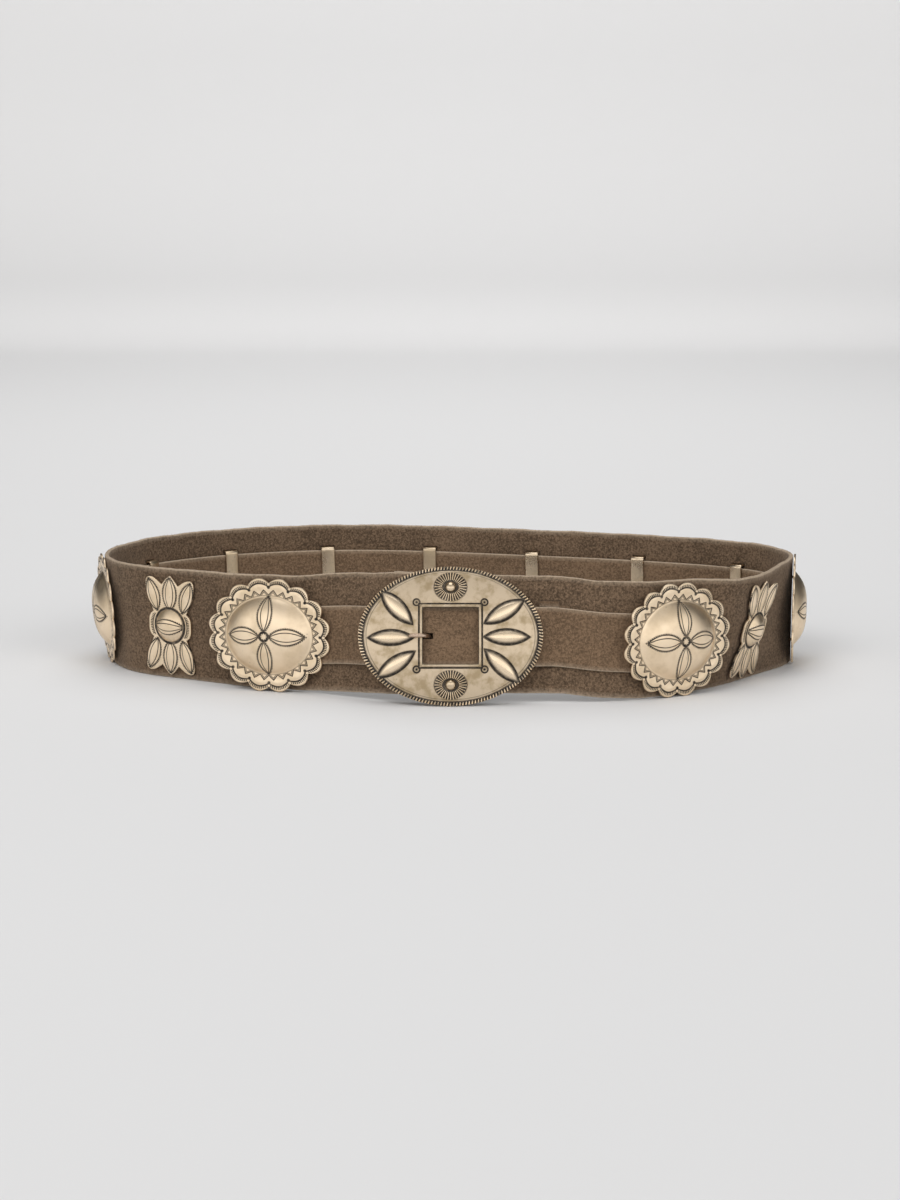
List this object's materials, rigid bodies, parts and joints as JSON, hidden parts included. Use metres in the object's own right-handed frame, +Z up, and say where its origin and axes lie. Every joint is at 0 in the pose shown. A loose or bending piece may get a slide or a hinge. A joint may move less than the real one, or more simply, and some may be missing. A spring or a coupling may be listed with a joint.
{
  "type": "concho belt",
  "caption": "Wide suede belt standing as an open oval loop, with round and butterfly metal conchos, a narrow laced strap and an oval buckle.",
  "frame": {"origin": "middle of the bounding box's foot, on the surface that the belt stands on", "axes": "+X to the right along the loop's long way, +Y from the buckle to the back, +Z up"},
  "size_m": [0.4182, 0.2776, 0.0734],
  "materials": {
    "suede": "taupe-brown suede, napped, with pale raw edges",
    "strap_suede": "slightly lighter taupe-brown suede",
    "silver": "warm antique silver with dark oxidised stamping",
    "tongue_metal": "worn rose-brass wire"
  },
  "bodies": {
    "root": {"band": "suede", "strap": "strap_suede", "buckle": "silver", "tongue": "tongue_metal", "round_concho_1": "silver", "round_concho_2": "silver", "round_concho_3": "silver", "round_concho_4": "silver", "round_concho_5": "silver", "round_concho_6": "silver", "round_concho_7": "silver", "butterfly_concho_1": "silver", "butterfly_concho_2": "silver", "butterfly_concho_3": "silver", "butterfly_concho_4": "silver", "butterfly_concho_5": "silver", "butterfly_concho_6": "silver"}
  },
  "joints": []
}
